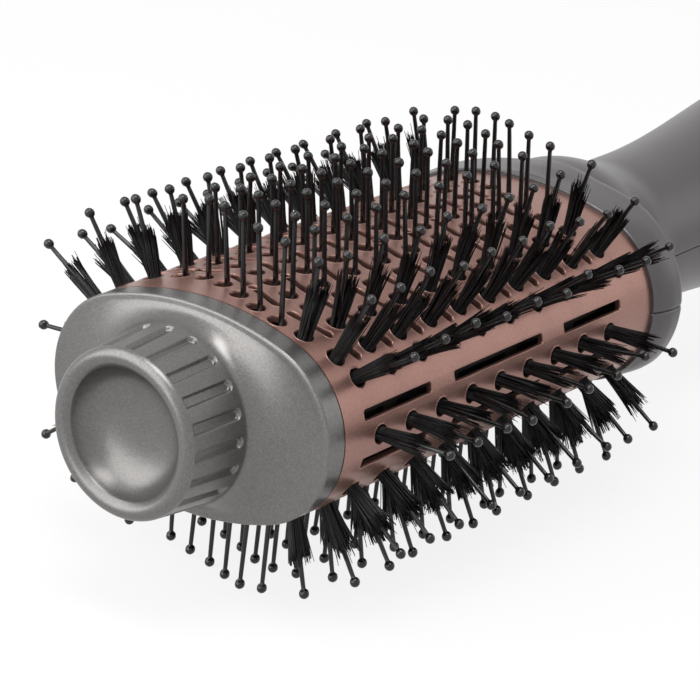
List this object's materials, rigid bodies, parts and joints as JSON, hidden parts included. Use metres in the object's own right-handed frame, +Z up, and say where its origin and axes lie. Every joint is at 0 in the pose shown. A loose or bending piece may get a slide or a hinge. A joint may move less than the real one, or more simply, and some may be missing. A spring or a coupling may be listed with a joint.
{
  "type": "hot air brush",
  "caption": "Oval hot air brush: perforated metal barrel with ball pins and bristle tufts, cool-tip end cap, round handle with fan, heater, selector ring and swivelling cord gland.",
  "frame": {"origin": "middle of the mouth of the cord bore in the tail swivel", "axes": "+X along the brush, out of the tail with the cord; +Y across the wide way of the oval barrel; +Z up, square to the barrel's wide faces"},
  "size_m": [0.3778, 0.091, 0.0684],
  "materials": {
    "cap_paint": "satin metallic paint",
    "barrel_metal": "satin rose gold ceramic coat",
    "handle_plastic": "satin metallic paint",
    "selector_plastic": "fine texture",
    "swivel_plastic": "fine texture",
    "heat_resin": "moulded",
    "pin_nylon": "moulded nylon",
    "tuft_nylon": "extruded filaments",
    "steel": "bright",
    "motor_steel": "zinc plate",
    "mica": "pressed mica sheet",
    "coil_wire": "drawn wire",
    "soft_rubber": "moulded",
    "fan_plastic": "moulded",
    "board_green": "solder mask",
    "part_black": "moulded",
    "lead_red": "sleeved wire",
    "lead_yellow": "sleeved wire",
    "lead_blue": "sleeved wire",
    "contact_brass": "pressed sheet",
    "filter_mesh": "fine woven mesh"
  },
  "bodies": {
    "brush": {"end_cap": "cap_paint", "barrel_shell": "barrel_metal", "air_core": "heat_resin", "front_strip_ring": "heat_resin", "rear_strip_ring": "heat_resin", "flat_strips_top": "pin_nylon", "flat_strips_bottom": "pin_nylon", "tuft_strips": "pin_nylon", "ball_pins_top": "pin_nylon", "ball_pins_bottom": "pin_nylon", "tuft_pins": "pin_nylon", "bristle_tufts": "tuft_nylon", "tie_rod": "steel", "barrel_base": "heat_resin", "handle_upper_shell": "handle_plastic", "handle_lower_shell": "handle_plastic", "shell_screws": "steel", "mica_tube": "mica", "mica_board_upright": "mica", "mica_board_flat": "mica", "heating_coil": "coil_wire", "thermostat": "steel", "thermal_fuse": "mica", "fan_housing": "heat_resin", "motor_damper": "soft_rubber", "motor": "motor_steel", "circuit_board": "board_green", "board_parts": "part_black", "heater_leads": "lead_red", "motor_leads": "lead_yellow", "mains_leads": "lead_blue", "switch_board": "board_green", "tail_cap": "handle_plastic", "dust_filter": "filter_mesh"},
    "fan": {"motor_shaft": "steel", "fan_impeller": "fan_plastic"},
    "selector": {"selector_ring": "selector_plastic", "switch_wiper": "contact_brass"},
    "swivel": {"cord_swivel": "swivel_plastic", "swivel_clip": "steel"}
  },
  "joints": [
    {"name": "fan_spin", "type": "hinge", "parent": "brush", "child": "fan", "pos_m": [-0.12, 0, 0], "axis": [1, 0, 0], "continuous": true},
    {"name": "selector_turn", "type": "hinge", "parent": "brush", "child": "selector", "pos_m": [-0.0463, 0, 0], "axis": [1, 0, 0], "range_deg": [-45, 45]},
    {"name": "cord_swivel_turn", "type": "hinge", "parent": "brush", "child": "swivel", "pos_m": [-0.014, 0, 0], "axis": [1, 0, 0], "continuous": true}
  ]
}
